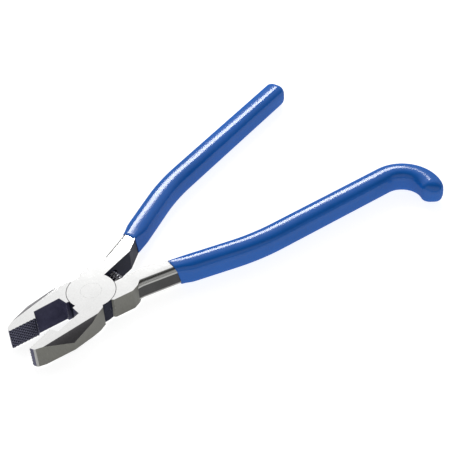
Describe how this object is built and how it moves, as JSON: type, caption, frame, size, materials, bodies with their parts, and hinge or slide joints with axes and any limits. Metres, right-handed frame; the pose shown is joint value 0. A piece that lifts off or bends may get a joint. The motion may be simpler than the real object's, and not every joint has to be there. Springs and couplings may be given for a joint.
{
  "type": "ironworker's side-cutting pliers",
  "caption": "Spring-opened side-cutting pliers with a flat knurled nose, a riveted lap joint and dipped handles, one straight and one hooked.",
  "frame": {"origin": "centre of the pivot on the head's underside", "axes": "+X along the bisector of the handles, away from the jaws; +Y towards the straight handle; +Z along the pivot, up from the side the pliers lie on"},
  "size_m": [0.2341, 0.1372, 0.0132],
  "materials": {
    "forged_steel": "ground and polished faces, brushed sides, blackened working faces",
    "spring_steel": "bright drawn wire",
    "dipped_vinyl": "glossy blue dip"
  },
  "bodies": {
    "straight_side": {"half_a": "forged_steel", "grip_a": "dipped_vinyl", "return_spring": "spring_steel"},
    "hooked_side": {"half_b": "forged_steel", "grip_b": "dipped_vinyl", "rivet": "forged_steel"}
  },
  "joints": [
    {"name": "jaw_pivot", "type": "hinge", "parent": "straight_side", "child": "hooked_side", "pos_m": [0, 0, 0.006], "axis": [0, 0, 1], "range_deg": [-19.4, 19.4], "stiffness_Nm_per_rad": 0.5, "deforming": ["return_spring"]}
  ]
}
